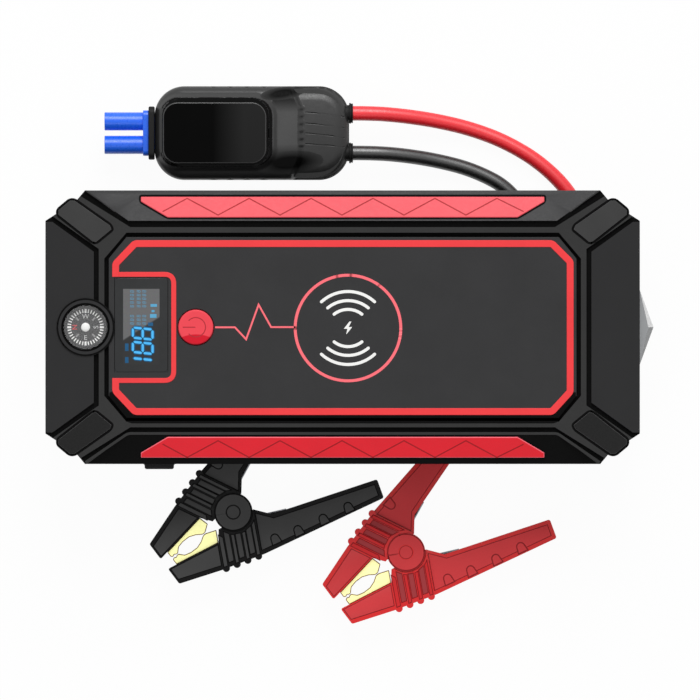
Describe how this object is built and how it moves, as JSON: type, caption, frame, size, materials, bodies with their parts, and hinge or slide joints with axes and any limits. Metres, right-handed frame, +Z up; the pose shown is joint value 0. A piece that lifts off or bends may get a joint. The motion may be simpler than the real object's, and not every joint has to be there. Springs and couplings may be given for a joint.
{
  "type": "jump starter pack",
  "caption": "Portable battery pack that starts a car, with charging face, compass, flashlight, port cover and a jump lead of plug, control box and spring clamps.",
  "frame": {"origin": "on the floor, under the middle of the bounding box", "axes": "+X along the pack to its flashlight end, +Y across it to the control box, +Z up from the floor"},
  "size_m": [0.2201, 0.195, 0.0498],
  "materials": {
    "case_black": "fine grain",
    "panel_black": "satin film",
    "window_dark": "gloss",
    "lcd_grey": "gloss",
    "board_green": "satin",
    "red_trim": "satin",
    "pad_black": "matte",
    "compass_black": "gloss",
    "dial_grey": "satin",
    "clear_lens": "gloss",
    "reflector_silver": "mirror",
    "socket_blue": "satin",
    "gold_contact": "polished",
    "steel": "brushed",
    "spring_steel": "polished",
    "cell_foil": "satin",
    "foam_black": "matte",
    "copper": "polished",
    "ferrite": "matte",
    "box_black": "satin",
    "cap_black": "gloss",
    "bushing_rubber": "matte",
    "lead_red": "satin",
    "lead_black": "satin",
    "lever_black": "satin",
    "lever_red": "satin",
    "jaw_brass": "polished"
  },
  "bodies": {
    "set": {"front_shell": "case_black", "back_shell": "case_black", "front_panel": "panel_black", "display_window": "window_dark", "lcd_module": "lcd_grey", "display_board": "board_green", "button_switch": "compass_black", "compass_cup": "compass_black", "compass_dome": "clear_lens", "top_inlay": "red_trim", "bottom_inlay": "red_trim", "corner_pad_1": "pad_black", "corner_pad_2": "pad_black", "corner_pad_3": "pad_black", "corner_pad_4": "pad_black", "flashlight_lens": "clear_lens", "reflector": "reflector_silver", "led_board": "board_green", "ec5_socket": "socket_blue", "socket_pins": "gold_contact", "usb_a_socket": "steel", "usb_c_socket": "steel", "main_board": "board_green", "battery_cell_1": "cell_foil", "battery_cell_2": "cell_foil", "battery_cell_3": "cell_foil", "battery_cell_4": "cell_foil", "battery_foam": "foam_black", "power_straps": "copper", "charging_coil": "copper", "ferrite_sheet": "ferrite", "case_screws": "steel", "plug_body": "socket_blue", "plug_contacts": "gold_contact", "plug_collar": "box_black", "box_upper_shell": "box_black", "box_lower_shell": "box_black", "box_cap": "cap_black", "box_board": "board_green", "box_relay": "compass_black", "red_bushing": "bushing_rubber", "black_bushing": "bushing_rubber", "red_lead": "lead_red", "black_lead": "lead_black", "black_upper_lever": "lever_black", "black_upper_jaw": "jaw_brass", "black_rivet": "steel", "black_spring": "spring_steel", "red_upper_lever": "lever_red", "red_upper_jaw": "jaw_brass", "red_rivet": "steel", "red_spring": "spring_steel"},
    "button": {"power_button": "red_trim"},
    "card": {"compass_card": "dial_grey"},
    "cover": {"port_cover": "pad_black"},
    "black_lower": {"black_lower_lever": "lever_black", "black_lower_jaw": "jaw_brass"},
    "red_lower": {"red_lower_lever": "lever_red", "red_lower_jaw": "jaw_brass"}
  },
  "joints": [
    {"name": "power_button_press", "type": "slide", "parent": "set", "child": "button", "axis": [0, 0, -1], "range_m": [0, 0.0006], "stiffness_N_per_m": 1500, "springref_m": -0.0003},
    {"name": "compass_turn", "type": "hinge", "parent": "set", "child": "card", "pos_m": [-0.09553, 0.01004, 0.0474], "axis": [0, 0, 1], "continuous": true},
    {"name": "port_cover_hinge", "type": "hinge", "parent": "set", "child": "cover", "pos_m": [-0.06893, -0.03871, 0.0234], "axis": [1, 0, 0], "range_deg": [0, 95]},
    {"name": "black_clamp_open", "type": "hinge", "parent": "set", "child": "black_lower", "pos_m": [-0.04225, -0.05706, 0.0065], "axis": [0, 0, 1], "range_deg": [0, 35], "stiffness_Nm_per_rad": 0.6, "springref_deg": -28.65, "deforming": ["black_spring"]},
    {"name": "red_clamp_open", "type": "hinge", "parent": "set", "child": "red_lower", "pos_m": [0.02047, -0.07163, 0.0065], "axis": [0, 0, 1], "range_deg": [0, 35], "stiffness_Nm_per_rad": 0.6, "springref_deg": -28.65, "deforming": ["red_spring"]}
  ]
}
